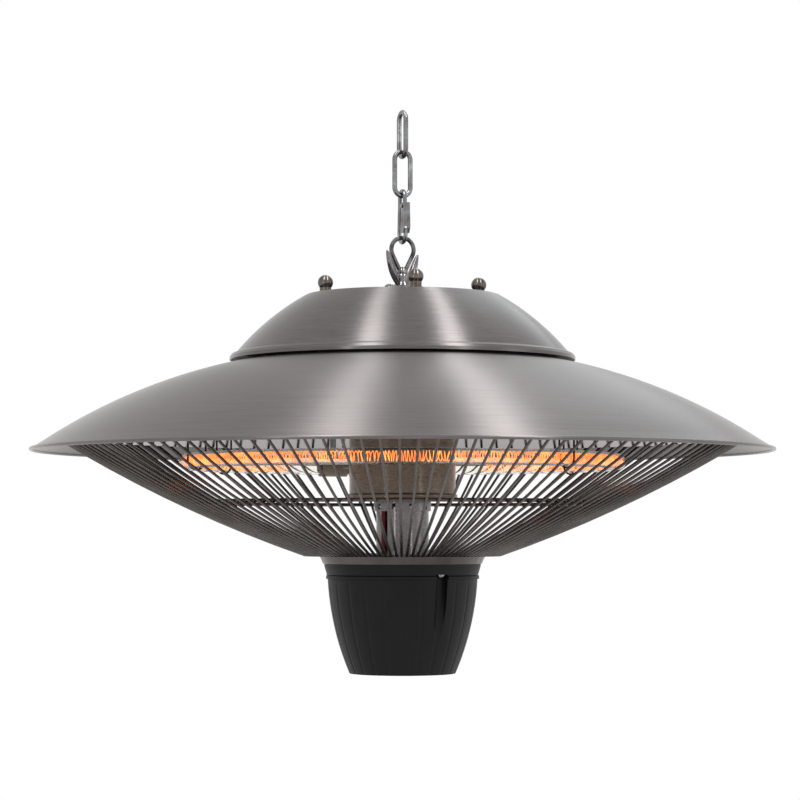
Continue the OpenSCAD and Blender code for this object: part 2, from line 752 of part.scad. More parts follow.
module shade() {
    slope = atan2(rim_drop, rim_w);
    color(steel_colour) heater() difference() {
        rotate_extrude($fn = 240) {
            intersection() {
                difference() {
                    shade_region(0);
                    shade_region(shade_t);
                }
                translate([shade_hole_r, shade_crease_z - 3])
                    square([shade_crease_r - shade_hole_r, shade_top_z]);
            }
            translate([shade_crease_r, shade_crease_z]) rotate(-slope)
                translate([-0.8, -shade_t]) square([norm([rim_w, rim_drop]) + 0.8, shade_t]);
            translate([shade_crease_r + rim_w, shade_crease_z - rim_drop - shade_t / 2])
                circle(d = rim_bead_d, $fn = 32);
        }
        at_studs() translate([0, 0, shade_top_z - 10]) cylinder(h = 20, r = stud_hole_r, $fn = 32);
    }
}

module hanger_plate() {
    color(zinc_colour) heater() difference() {
        translate([0, 0, hanger_z]) cylinder(h = hanger_t, r = hanger_r, $fn = 120);
        translate([0, 0, hanger_z - 1]) cylinder(h = hanger_t + 2, r = shade_hole_r, $fn = 96);
        at_studs() translate([0, 0, hanger_z - 1]) cylinder(h = hanger_t + 2, r = stud_hole_r, $fn = 32);
    }
}

// Reflector: a polished dish above the lamp
module reflector() {
    color([0.8, 0.8, 0.8]) heater() difference() {
        rotate_extrude($fn = 240) {
            sheet_arc(reflector_flat_r, reflector_cz, reflector_arc_r, reflector_t,
                reflector_flat_r, reflector_r, reflector_edge_z - 4);
            translate([reflector_hole_r, reflector_z - reflector_t])
                square([reflector_flat_r - reflector_hole_r + eps, reflector_t]);
        }
        at_studs() translate([0, 0, reflector_z - 10]) cylinder(h = 20, r = stud_hole_r, $fn = 32);
    }
}

// Terminal block on the shade's flat top, inside the cap
module terminal_block() {
    w = 34;
    d = 16;
    h = 14;
    color(ceramic_colour) heater() translate([-w / 2, shade_hole_r + block_gap, shade_top_z]) difference() {
        cube([w, d, h]);
        for (i = [0 : 2]) translate([w * (i + 0.5) / 3, d / 2, h - 6]) cylinder(h = 7, d = 5, $fn = 24);
    }
}

// Column: canister, its base plate, a slotted collar and the lower tube
module canister() {
    color(canister_colour) heater() rotate_extrude($fn = 120) {
        translate([canister_r - canister_t, canister_bottom_z])
            square([canister_t, canister_top_z - canister_bottom_z]);
        translate([canister_r - 9, canister_top_z - canister_t]) square([9, canister_t]);
    }
}

module canister_base() {
    hole_r = collar_r - column_t - 2;
    skirt_r = canister_base_r - 1.5;
    plate_z = canister_bottom_z - 2;
    chamfer = 1.4;
    color(canister_colour) heater() rotate_extrude($fn = 120) polygon([[hole_r, plate_z],
        [skirt_r, plate_z], [skirt_r, base_plate_z], [canister_base_r, base_plate_z],
        [canister_base_r, canister_bottom_z - chamfer], [canister_base_r - chamfer, canister_bottom_z],
        [hole_r, canister_bottom_z]]);
}

module column_collar() {
    top_z = canister_bottom_z - 2;
    color(steel_colour) heater() difference() {
        translate([0, 0, collar_bottom_z]) cylinder(h = top_z - collar_bottom_z, r = collar_r, $fn = 96);
        translate([0, 0, collar_bottom_z - 1]) cylinder(h = collar_h + 20, r = collar_r - column_t, $fn = 96);
        for (i = [0 : collar_slots - 1]) rotate([0, 0, -90 + 360 * (i + 0.5) / collar_slots])
            translate([collar_r - 4, -collar_slot_w / 2, collar_bottom_z + 1.4])
                cube([8, collar_slot_w, collar_h - 3.4]);
    }
}

module column_tube() {
    color(steel_colour) heater() difference() {
        translate([0, 0, hub_top_z]) cylinder(h = collar_bottom_z + 3 - hub_top_z, r = column_r, $fn = 96);
        translate([0, 0, hub_top_z - 1]) cylinder(h = 80, r = column_r - column_t, $fn = 96);
    }
}

module thermal_cutout() {
    z = canister_bottom_z;
    color([0.75, 0.72, 0.66]) heater() translate([31, 0, z]) {
        cylinder(h = 1.2, r = 8, $fn = 48);
        translate([0, 0, 1.1]) cylinder(h = 7, r = 6.5, $fn = 48);
        for (s = [-1, 1]) translate([-3, s * 3 - 0.4, 8]) cube([6, 0.8, 6]);
    }
}

// Lamp: a quartz ring with a glowing coil, ceramic ends, brackets, clips and leads
module quartz_tube() {
    color([0.9, 0.75, 0.6, 0.5]) heater() translate([0, 0, lamp_z]) rotate([0, 0, glass_start])
        rotate_extrude(angle = glass_arc, $fn = 240) translate([lamp_r, 0]) difference() {
            circle(d = quartz_d, $fn = 48);
            circle(d = quartz_d - 2 * quartz_t, $fn = 48);
        }
}

module heating_coil() {
    rings_per_turn = 8;
    n = coil_turns * rings_per_turn;
    points = [for (i = [0 : n]) ring_point(i, n, coil_turns, lamp_r, coil_r, coil_start, coil_arc)];
    echo(heating_coil_least_gap = least_gap(points, rings_per_turn, coil_wire_d));
    color(glow_colour) heater() translate([0, 0, lamp_z]) swept(points, coil_wire_d, 6);
}

module lamp_end_caps() {
    hold = end_cap_hold;
    color(ceramic_colour) heater() translate([0, 0, lamp_z]) for (s = [-1, 1])
        rotate([0, 0, lamp_gap_turn + (s > 0 ? glass_half_gap - end_cap_arc + hold : -glass_half_gap - hold)])
            difference() {
                rotate_extrude(angle = end_cap_arc, $fn = 240)
                    translate([lamp_r, 0]) circle(d = end_cap_d, $fn = 48);
                rotate([0, 0, s > 0 ? end_cap_arc - hold : -1]) rotate_extrude(angle = hold + 1, $fn = 240)
                    translate([lamp_r, 0]) circle(r = quartz_d / 2 + end_cap_bore_gap, $fn = 48);
            }
}

module lamp_brackets() {
    top_z = reflector_under(lamp_r + bracket_w / 2) - seat_gap;
    hook_z = lamp_z + end_cap_d / 2 + seat_gap;
    mid = glass_half_gap + end_cap_hold - end_cap_arc / 2;
    color(zinc_colour) heater() for (s = [-1, 1]) rotate([0, 0, lamp_gap_turn + s * mid]) {
        translate([lamp_r - bracket_w / 2, -bracket_t / 2, hook_z])
            cube([bracket_w, bracket_t, top_z - hook_z]);
        for (z = [hook_z, top_z - bracket_t])
            translate([lamp_r - bracket_w / 2, -bracket_foot / 2, z])
                cube([bracket_w, bracket_foot, bracket_t]);
    }
}

module lamp_clips() {
    color([0.25, 0.24, 0.23]) heater() for (a = clip_angles) rotate([0, 0, a])
        translate([lamp_r, 0, lamp_z]) rotate([90, 0, 0]) {
            wire_arc(clip_bend_r, clip_wire_d, 180, 360);
            for (s = [-1, 1]) {
                top_y = reflector_under(lamp_r + s * clip_bend_r + 1) - lamp_z - seat_gap;
                wire_line([s * clip_bend_r, 0], [s * clip_bend_r, top_y], clip_wire_d);
            }
        }
}

module lamp_leads() {
    from_r = canister_r + seat_gap;
    for (s = [-1, 1]) {
        a = lamp_gap_turn + s * (glass_half_gap + end_cap_hold - end_cap_arc + 1.6);
        color([0.75, 0.72, 0.7]) heater() translate([0, 0, lamp_z]) rotate([0, 0, a])
            translate([from_r, 0, 0]) rotate([0, 90, 0])
                cylinder(h = lamp_r - end_cap_d / 2 - seat_gap - from_r, d = lead_d, $fn = 24);
    }
}

// Grille: radial bars in a shallow bowl, welded under a top ring and a middle ring
module grille_bars() {
    a0 = -90 + bar_foot_angle;
    a1 = -90 + bar_top_angle;
    color(bar_colour) heater() for (g = [0 : bar_groups - 1]) {
        for (i = [floor(g * bar_count / bar_groups) : floor((g + 1) * bar_count / bar_groups) - 1])
            rotate([90, 0, -90 + 360 * (i - 0.15) / bar_count]) {
                translate([bar_cx, bar_cz]) rotate([0, 0, a0]) rotate_extrude(angle = a1 - a0, $fn = 720)
                    translate([bar_arc_r, 0]) circle(d = bar_d, $fn = 16);
                wire_line([bar_inner_r, bar_foot_z], [bar_foot_r + 0.2, bar_foot_z], bar_tail_d);
            }
    }
}

module grille_ring(r, z, d) {
    color(bar_colour) heater() translate([0, 0, z])
        rotate_extrude($fn = 240) translate([r, 0]) circle(d = d, $fn = 32);
}

module grille_middle_ring() {
    grille_ring(mid_ring_r, mid_ring_z, mid_ring_d);
}

module grille_top_ring() {
    grille_ring(top_ring_c[0], top_ring_c[1], top_ring_d);
}

// Hub ring: a shallow pressed cup that closes the pot and carries the bars' inner ends
module hub_ring() {
    low_r = hub_r - 2.6;
    lead_hole_r = 12;
    color(steel_colour) heater() difference() {
        translate([0, 0, pot_top_z]) difference() {
            cylinder(h = hub_h, r1 = low_r, r2 = hub_r, $fn = 144);
            translate([0, 0, -1]) cylinder(h = hub_h - hub_t + 1, r = low_r - hub_t, $fn = 144);
        }
        translate([0, 0, hub_top_z - hub_h - 1]) cylinder(h = hub_h + 2, r = lead_hole_r, $fn = 64);
        at_channels() translate([0, 0, pot_top_z - 1]) cylinder(h = hub_h + 2, r = screw_hole_r, $fn = 32);
    }
}

// Control pot: a barrel with a stepped collar and three screw channels
module pot_region(inset) {
    intersection() {
        translate([pot_cx, pot_top_z]) circle(r = pot_arc_r - inset, $fn = 360);
        translate([0, pot_bottom_z]) square([pot_body_r + 1, pot_h - pot_collar_h + inset]);
    }
}

module pot_outside() {
    waist_r = pot_side(pot_body_z) + 0.5;
    bead_r = waist_r + 0.8;
    rotate_extrude($fn = 144) {
        pot_region(0);
        polygon([[0, pot_body_z], [bead_r, pot_body_z], [bead_r, pot_body_z + 2.4],
            [waist_r, pot_body_z + 3.2], [pot_r, pot_top_z - 1.5], [pot_r, pot_top_z], [0, pot_top_z]]);
    }
}

module control_pot() {
    inner_r = pot_side(pot_body_z) - pot_t;
    boss_bottom_z = channel_bottom_z - boss_wall;
    color(plastic_colour) heater() difference() {
        union() {
            difference() {
                pot_outside();
                rotate_extrude($fn = 144) {
                    pot_region(pot_t);
                    translate([0, pot_body_z - 1]) square([inner_r, pot_collar_h + 2]);
                    translate([0, pot_bottom_z - 1]) square([base_r + seat_gap, 4]);
                }
            }
            intersection() {
                pot_outside();
                at_channels() translate([0, 0, boss_bottom_z])
                    cylinder(h = pot_top_z - boss_bottom_z, r = channel_r + boss_wall, $fn = 64);
            }
        }
        at_channels() translate([0, 0, channel_bottom_z]) cylinder(h = channel_l, r = channel_r, $fn = 64);
        at_channels() translate([0, 0, channel_top_z - 1])
            cylinder(h = channel_top + 2, r = screw_hole_r, $fn = 32);
    }
}

module pan_screw(head_z, shank_l) {
    translate([0, 0, head_z - screw_head_h]) difference() {
        intersection() {
            cylinder(h = screw_head_h, r = screw_head_r, $fn = 40);
            translate([0, 0, screw_head_r]) sphere(r = screw_head_r + 0.5, $fn = 64);
        }
        for (a = [0, 90]) rotate([0, 0, a]) translate([-2, -0.35, -1]) cube([4, 0.7, 2.2]);
    }
    translate([0, 0, head_z - eps]) cylinder(h = shank_l, d = screw_d, $fn = 32);
}

module pot_screws() {
    color(chrome_colour) heater() at_channels() pan_screw(channel_top_z, channel_top + hub_h - 0.3);
}

module pot_base() {
    color(plastic_colour) heater() difference() {
        union() {
            translate([0, 0, base_z]) cylinder(h = base_t, r = base_r, $fn = 120);
            at_posts() translate([0, 0, base_z + base_t - eps])
                cylinder(h = board_rise + eps, r = board_post_r, $fn = 40);
            translate([0, button_y, base_z]) cylinder(h = base_t + 3, r = button_flange_r + 1.6, $fn = 64);
        }
        translate([0, button_y, base_z - 1])
            cylinder(h = base_t + 1 + eps, r = button_r + button_gap, $fn = 64);
        translate([0, button_y, base_z + base_t])
            cylinder(h = 10, r = button_flange_r + button_gap, $fn = 64);
        translate([0, window_y, base_z - 1]) cylinder(h = 10, r = window_r + 0.1, $fn = 48);
        for (i = [-1 : 1]) translate([i * lens_pitch, lens_y, base_z - 1])
            cylinder(h = 10, r = lens_r + 0.1, $fn = 32);
        at_posts() translate([0, 0, base_z - 1])
            cylinder(h = base_t + board_rise + 2, r = post_hole_r, $fn = 24);
    }
}

module base_screws() {
    head_r = 2.6;
    head_h = 1.5;
    color(chrome_colour) heater() at_posts() {
        translate([0, 0, base_z - head_h]) difference() {
            cylinder(h = head_h, r1 = head_r - 0.6, r2 = head_r, $fn = 32);
            for (a = [0, 90]) rotate([0, 0, a]) translate([-1.5, -0.3, -1]) cube([3, 0.6, 1.8]);
        }
        translate([0, 0, base_z - eps])
            cylinder(h = base_t + board_rise + board_t - 1, r = post_hole_r - 0.1, $fn = 24);
    }
}

// Electronics in the pot
module control_board() {
    color([0.12, 0.35, 0.16]) heater() translate([0, 0, board_z]) difference() {
        cylinder(h = board_t, r = board_r, $fn = 96);
        at_posts() translate([0, 0, -1]) cylinder(h = board_t + 2, r = post_hole_r, $fn = 24);
    }
}

module relay() {
    color([0.15, 0.3, 0.65]) heater() translate([-9.5, 12, board_z + board_t]) cube([19, 15.5, 15.3]);
}

module button_switch() {
    low = board_z - switch_h;
    color([0.2, 0.2, 0.2]) heater() translate([0, button_y, 0]) {
        translate([-3, -3, low]) cube([6, 6, switch_h]);
    }
}

module power_button() {
    low = base_z - button_proud;
    stem_top = board_z - switch_h - button_travel - 0.6;
    color([0.75, 0.1, 0.08]) heater() translate([0, button_y, 0]) {
        translate([0, 0, low]) cylinder(h = 0.8, r1 = button_r - 0.8, r2 = button_r, $fn = 64);
        translate([0, 0, low + 0.8 - eps])
            cylinder(h = button_flange_z - low - 0.8 + 2 * eps, r = button_r, $fn = 64);
        translate([0, 0, button_flange_z]) cylinder(h = button_flange_t, r = button_flange_r, $fn = 64);
        translate([0, 0, button_flange_z + button_flange_t - eps])
            cylinder(h = stem_top - button_flange_z - button_flange_t, r = button_stem_r, $fn = 32);
    }
}

module button_spring() {
    low = button_flange_z + button_flange_t + 0.1;
    high = board_z - 0.1;
    wire = 0.6;
    coil = 5.3;
    turns = 7;
    rings_per_turn = 12;
    n = turns * rings_per_turn;
    points = [for (i = [0 : n]) [coil * cos(360 * turns * i / n), coil * sin(360 * turns * i / n),
        low + wire / 2 + (high - low - wire) * i / n]];
    echo(button_spring_least_gap = least_gap(points, rings_per_turn, wire));
    color(zinc_colour) heater() translate([0, button_y, 0]) swept(points, wire, 6);
}

module receiver_window() {
    proud = 0.4;
    flange_t = 1;
    color([0.2, 0.03, 0.03]) heater() translate([0, window_y, base_z - proud]) {
        cylinder(h = base_t + proud + flange_t / 2, r = window_r, $fn = 48);
        translate([0, 0, base_t + proud]) cylinder(h = flange_t, r = window_r + 1, $fn = 48);
    }
}

module indicator_lenses() {
    flange_t = 1;
    color([0.9, 0.9, 0.85]) heater() for (i = [-1 : 1]) translate([i * lens_pitch, lens_y, base_z]) {
        cylinder(h = base_t + flange_t / 2, r = lens_r, $fn = 32);
        translate([0, 0, base_t]) cylinder(h = flange_t, r = lens_r + 0.6, $fn = 32);
    }
}

// Leads from the terminal block down through the column to the board
module supply_leads() {
    low_z = board_z + board_t + seat_gap;
    top_z = shade_top_z + 8;
    run = shade_hole_r + block_gap - seat_gap;
    color([0.2, 0.2, 0.22]) heater() for (i = [-1 : 1]) translate([i * 5, 0, 0]) {
        translate([0, 0, low_z]) cylinder(h = top_z - low_z, d = lead_d, $fn = 24);
        translate([0, 0, top_z]) sphere(r = lead_d / 2 + 0.1, $fn = 24);
        translate([0, 0, top_z]) rotate([-90, 0, 0]) cylinder(h = run, d = lead_d, $fn = 24);
    }
}

// Sleeved lead that shows beside the column tube
module outer_lead() {
    r = column_r + seat_gap + lead_d / 2;
    low_z = hub_top_z + seat_gap;
    color([0.5, 0.05, 0.08]) heater() rotate([0, 0, lead_turn]) translate([r, 0, low_z])
        cylinder(h = collar_bottom_z - seat_gap - low_z, d = lead_d, $fn = 24);
}

chain_link_upper();
chain_link_lower();
snap_hook_body();
snap_hook_rivet();
snap_hook_gate();
eye_bolt();
wing_nut();
eye_washer();
eye_nut();
eye_lock_nut();
cap_cover();
cap_stiffener();
ball_nuts();
cap_studs();
cap_spacers();
cable_gland();
gland_lock_nut();
shade();
hanger_plate();
reflector_spacers();
reflector();
stud_nuts();
terminal_block();
canister();
canister_base();
column_collar();
column_tube();
thermal_cutout();
quartz_tube();
heating_coil();
lamp_end_caps();
lamp_brackets();
lamp_clips();
lamp_leads();
grille_bars();
grille_middle_ring();
grille_top_ring();
hub_ring();
control_pot();
pot_screws();
pot_base();
base_screws();
control_board();
relay();
supply_leads();
outer_lead();
power_button();
button_spring();
button_switch();
receiver_window();
indicator_lenses();
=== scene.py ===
"""Looks of the hanging patio heater: materials, fine pieces, studio and camera.

The fine pieces are the loose glowing coil, the grille's weld beads, the fluted control pot and the cast wing
nut. Metres, +Z up, in the frame of the CAD model. The viewer stands at -Y and faces the heater's front.
"""

import json
import math
import random

import bpy
from mathutils import Euler, Matrix, Vector


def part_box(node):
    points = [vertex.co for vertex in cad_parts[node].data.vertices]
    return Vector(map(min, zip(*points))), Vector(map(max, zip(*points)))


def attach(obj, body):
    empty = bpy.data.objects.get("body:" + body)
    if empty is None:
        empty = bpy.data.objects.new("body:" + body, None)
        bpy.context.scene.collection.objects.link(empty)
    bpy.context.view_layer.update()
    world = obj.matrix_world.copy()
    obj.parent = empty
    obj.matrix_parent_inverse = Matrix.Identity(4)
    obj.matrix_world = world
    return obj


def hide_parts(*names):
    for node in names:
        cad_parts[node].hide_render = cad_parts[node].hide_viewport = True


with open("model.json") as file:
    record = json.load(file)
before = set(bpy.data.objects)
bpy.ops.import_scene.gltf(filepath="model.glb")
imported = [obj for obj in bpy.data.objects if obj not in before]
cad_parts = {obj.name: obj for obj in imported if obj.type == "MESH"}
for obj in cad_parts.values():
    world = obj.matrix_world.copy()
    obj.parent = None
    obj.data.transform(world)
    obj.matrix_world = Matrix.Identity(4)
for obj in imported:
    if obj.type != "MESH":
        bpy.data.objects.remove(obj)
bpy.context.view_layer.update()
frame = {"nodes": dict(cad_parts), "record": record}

NODES = frame["nodes"]
UP = Vector((0, 0, 1))
WHITE = (1, 1, 1)

# Turn round the Z axis that faces the viewer
FRONT = -math.pi / 2

# Camera: read from the ellipses of the rim, the rings and the ball nuts in the photograph.
IMAGE_PX = 800
FOCAL_PX = 2562
SENSOR_MM = 36
CAMERA_DISTANCE = 2.05
CAMERA_BELOW_RIM = 0.068
AIM_BELOW_CHAIN = 0.2301
AIM_LEFT = 0.002
RIM_ABOVE_BARS = 0.08604
RIM_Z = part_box("grille_bars")[0].z + RIM_ABOVE_BARS

# Ring lamp. The coil's shift and lean are parts of the way from one turn to the next.
LAMP_R = 0.172
LAMP_Z = (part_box("quartz_tube")[0].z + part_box("quartz_tube")[1].z) / 2
LAMP_GAP_TURN = math.radians(95.5)
COIL_HALF_GAP = math.radians(29.5)
COIL_TURNS = 370
COIL_STEPS = 12
COIL_R = 0.0041
COIL_WIRE_R = 0.00031
COIL_WIRE_SIDES = 6
COIL_SHIFT = 0.34
COIL_LEAN = 0.45
COIL_LEAST_REACH = 0.84
COIL_SEED = 7

# Grille. The first bar stands BAR_OFFSET of the way between two bars from the front. The welds are balls of
# about a bar's radius, squashed in height.
BAR_COUNT = 120
BAR_OFFSET = 0.15
BAR_R = 0.0011
WELD_SIZES = (0.8, 1.1)
WELD_SQUASH = 0.55
WELD_SEED = 3

# Control pot. Its side is an arc that is drawn in a little where the collar ends, and points stand POT_EDGE
# above and below that edge.
POT_TOP_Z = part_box("control_pot")[1].z
POT_BOTTOM_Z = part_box("control_pot")[0].z
POT_TOP_R = 0.0625
POT_BODY_R = 0.0602
POT_ARC_R = 0.220
POT_DRAWN_IN = 0.00033
POT_WAIST_STEP = 0.0005
POT_BEAD_STEP = 0.0008
POT_WAIST_R = POT_BODY_R - POT_DRAWN_IN + POT_WAIST_STEP
POT_BEAD_R = POT_WAIST_R + POT_BEAD_STEP
POT_COLLAR_H = 0.012
POT_WALL = 0.0024
POT_SIDES = 360
POT_ROWS = 46
POT_EDGE = 0.0001
POT_SHARP = math.radians(32)

# The collar's outline: depth below the pot's top, and radius
POT_COLLAR = (
    (0.0, POT_TOP_R),
    (0.0015, POT_TOP_R),
    (0.0088, POT_WAIST_R),
    (0.0096, POT_BEAD_R),
    (POT_COLLAR_H, POT_BEAD_R),
)

# Flutes of the pot, which deepen over a short run below the collar
FLUTES = 24
FLUTE_DEPTH = 0.00035
FLUTE_HALF_WIDTH = math.radians(2.4)
FLUTE_POWER = 1.5
FLUTE_RUN_OUT = 0.006
FLUTE_RUN_OUT_ROWS = 3
FLUTE_STEPS = 6
FLUTE_CENTRES = [FRONT + 2 * math.pi * i / FLUTES for i in range(FLUTES)]

# Screw channels of the pot. Points stand on both sides of a channel's edges: CHANNEL_EDGE above and below
# its ends, and beside it at its half width times CHANNEL_OUTER.
CHANNELS = 3
CHANNEL_TURN = math.radians(-59)
CHANNEL_CIRCLE_R = 0.0572
CHANNEL_R = 0.005
CHANNEL_TOP = 0.008
CHANNEL_L = 0.054
CHANNEL_WALL = 0.001
CHANNEL_EDGE = 0.00001
CHANNEL_OUTER = 1.001
CHANNEL_STEPS = 12
CHANNEL_CENTRES = [CHANNEL_TURN + 2 * math.pi * i / CHANNELS for i in range(CHANNELS)]
CHANNEL_HALF = math.asin(CHANNEL_R / CHANNEL_CIRCLE_R)
CHANNEL_HIGH_Z = POT_TOP_Z - CHANNEL_TOP
CHANNEL_LOW_Z = CHANNEL_HIGH_Z - CHANNEL_L

# Wing nut
WING_TURN = math.radians(54)
WING_SIDES = 12
WING_SMOOTHING = 2
NUT_SIDES = 64
NUT_SHARP = math.radians(45)
NUT_WELD = 0.00003

# Sections of a wing: height, middle radius, half width and half thickness
WING_SECTIONS = (
    (0.0008, 0.0059, 0.0012, 0.0016),
    (0.0040, 0.0079, 0.0032, 0.0024),
    (0.0080, 0.0104, 0.0046, 0.0027),
    (0.0120, 0.0129, 0.0048, 0.0027),
    (0.0160, 0.0150, 0.0044, 0.0025),
    (0.0200, 0.0169, 0.0038, 0.0022),
    (0.0240, 0.0187, 0.0028, 0.0017),
    (0.0270, 0.0202, 0.0017, 0.0011),
    (0.0283, 0.0212, 0.0006, 0.0005),
)

# Outline of the nut's hub: radius and height, up the outside and down the bore
NUT_OUTLINE = (
    (0.0073, 0.0001),
    (0.0073, 0.0010),
    (0.0069, 0.0020),
    (0.0061, 0.0031),
    (0.0058, 0.0050),
    (0.0056, 0.0080),
    (0.0054, 0.0098),
    (0.0049, 0.0104),
    (0.00405, 0.0104),
    (0.00405, 0.0001),
)

# Studio
FLOOR_Z = -4.2
FLOOR_HALF = 12.0
FLOOR_GREY = 0.55
FLOOR_ROUGHNESS = 0.9
WORLD_GREY = 0.62
STUDIO_R = 2.3
STRIP_WIDTH = 0.29
MIDDLE = Vector((0, 0, RIM_Z))

# Strip lamps: name, turn in degrees at which the steel shows them, and how bright each lamp of the row is.
# Each lamp of a row reaches from one rise to the next, in degrees from straight behind the heater.
STRIP_RISES = (32, 60, 92, 140)
STRIPS = (
    ("left_strip", -11, (2.2, 3.0, 8.0)),
    ("right_strip", 18.2, (3.8, 4.8, 9.0)),
)

# Softboxes: name, direction from the heater's middle, width and length, watts and colour
SOFTBOXES = (
    ("right_back", (0.32, 0.69, 0.65), (0.7, 1.3), 3.8, (0.88, 0.97, 1.0)),
    ("right_side", (0.95, -0.2, 0.2), (0.8, 1.4), 2.5, WHITE),
    ("front_left", (-0.55, -0.80, 0.15), (0.12, 1.5), 3.0, WHITE),
    ("front_right", (0.62, -0.75, 0.15), (0.12, 1.5), 2.6, WHITE),
)


# Shader building


class Shader:
    """A material with a Principled shader and short calls that add and wire nodes."""

    def __init__(self, name, colour, roughness, metallic=0.0, **sockets):
        self.material = bpy.data.materials.new(name)
        self.material.use_nodes = True
        self.tree = self.material.node_tree
        self.bsdf = self.tree.nodes["Principled BSDF"]
        self.bsdf.inputs["Base Color"].default_value = (*colour, 1)
        self.bsdf.inputs["Roughness"].default_value = roughness
        self.bsdf.inputs["Metallic"].default_value = metallic
        for socket, value in sockets.items():
            self.bsdf.inputs[socket.replace("_", " ")].default_value = value

    def node(self, kind, inputs=(), **settings):
        made = self.tree.nodes.new(kind)
        for key, value in settings.items():
            setattr(made, key, value)
        for key, value in dict(inputs).items():
            if isinstance(value, bpy.types.NodeSocket):
                self.tree.links.new(value, made.inputs[key])
            else:
                made.inputs[key].default_value = value
        return made

    def math(self, operation, a, b=0.0):
        return self.node("ShaderNodeMath", {0: a, 1: b}, operation=operation).outputs[0]

    def blend(self, a, b, share):
        """Sum of two values, of which the second has the given share."""
        return self.math("ADD", self.math("MULTIPLY", a, 1 - share), self.math("MULTIPLY", b, share))

    def position(self):
        """Place in the frame of the whole part, since every CAD node sits at the origin."""
        return self.node("ShaderNodeTexCoord").outputs["Object"]

    def noise(self, vector, scale, detail=3.0, roughness=0.55):
        inputs = {"Vector": vector, "Scale": scale, "Detail": detail, "Roughness": roughness}
        return self.node("ShaderNodeTexNoise", inputs).outputs["Fac"]

    def scaled(self, vector, factors):
        inputs = {0: vector, 1: factors}
        return self.node("ShaderNodeVectorMath", inputs, operation="MULTIPLY").outputs[0]

    def ramp(self, value, stops):
        made = self.node("ShaderNodeValToRGB", {"Fac": value})
        band = made.color_ramp
        while len(band.elements) < len(stops):
            band.elements.new(0.5)
        for element, (place, colour) in zip(band.elements, stops):
            element.position = place
            element.color = (*colour, 1)
        return made.outputs["Color"]

    def between(self, value, low, high, from_low=0.3, from_high=0.7):
        inputs = {"Value": value, "From Min": from_low, "From Max": from_high}
        inputs.update({"To Min": low, "To Max": high})
        return self.node("ShaderNodeMapRange", inputs).outputs["Result"]

    def feed(self, socket, value):
        self.tree.links.new(value, self.bsdf.inputs[socket])

    def bump(self, height, strength, distance=0.0002):
        inputs = {"Height": height, "Strength": strength, "Distance": distance}
        self.feed("Normal", self.node("ShaderNodeBump", inputs).outputs["Normal"])

    def around(self, streaks, fine):
        """Coordinates of a surface turned about the Z axis: slow round the axis, quick along the profile."""
        place = self.position()
        flat = self.scaled(place, (1, 1, 0))
        direction = self.node("ShaderNodeVectorMath", {0: flat}, operation="NORMALIZE").outputs[0]
        radius = self.node("ShaderNodeVectorMath", {0: flat}, operation="LENGTH").outputs["Value"]
        height = self.node("ShaderNodeSeparateXYZ", {0: place}).outputs["Z"]
        along = self.math("SUBTRACT", radius, height)
        lift = self.node("ShaderNodeCombineXYZ", {"Z": self.math("MULTIPLY", along, fine)}).outputs[0]
        spread = self.scaled(direction, (streaks, streaks, 0))
        return self.node("ShaderNodeVectorMath", {0: spread, 1: lift}, operation="ADD").outputs[0]


def toned(colour, factor):
    return tuple(factor * part for part in colour)


def turned_steel(name, dark, light, roughness, grain=1500.0):
    """Steel brushed round the axis: long fine streaks in tone, gloss and height."""
    s = Shader(name, light, roughness, 1.0, Anisotropic=0.9, Anisotropic_Rotation=0.25)
    fine = s.noise(s.around(streaks=7.0, fine=grain), scale=1.0, detail=4.0, roughness=0.7)
    broad = s.noise(s.around(streaks=3.0, fine=grain * 0.16), scale=1.0, detail=2.0)
    mixed = s.blend(fine, broad, share=0.2)
    s.feed("Base Color", s.ramp(mixed, [(0.33, dark), (0.67, light)]))
    s.feed("Roughness", s.between(mixed, low=roughness - 0.05, high=roughness + 0.05))
    s.feed("Tangent", s.node("ShaderNodeTangent", direction_type="RADIAL", axis="Z").outputs[0])
    s.bump(fine, strength=0.08, distance=0.0001)
    return s.material


def plated(name, dark, light, roughness, scale=160.0, pits=0.06, tints=()):
    """Bright plating with clouds of tone, fine pits and handling marks. The clouds are faint in most
    platings; in the zinc and the chrome they range widely and are a painted reflection: dark and bright
    patches of mirrored surroundings.
    """
    s = Shader(name, light, roughness, 1.0)
    place = s.position()
    cloud = s.noise(place, scale)
    marks = s.noise(s.scaled(place, (1, 1, 0.3)), scale=scale * 9, roughness=0.7)
    # Clouds of tone in the base colour; where dark and light lie far apart they are a painted reflection.
    s.feed("Base Color", s.ramp(cloud, [(0.3, dark), *tints, (0.7, light)]))
    s.feed("Roughness", s.between(marks, low=roughness * 0.7, high=roughness * 1.4))
    s.bump(marks, strength=pits, distance=0.0001)
    return s.material


def moulded(name, colour, roughness, scale=1400.0, depth=0.25, shine=0.5):
    """Moulded plastic with a spark-eroded skin."""
    s = Shader(name, colour, roughness, Specular_IOR_Level=shine)
    place = s.position()
    skin = s.noise(place, scale, detail=2.0, roughness=0.6)
    tone = s.noise(place, scale=scale / 40)
    s.feed("Base Color", s.ramp(tone, [(0.3, toned(colour, 0.8)), (0.7, toned(colour, 1.25))]))
    s.feed("Roughness", s.between(skin, low=roughness - 0.08, high=roughness + 0.12))
    s.bump(skin, strength=depth)
    return s.material


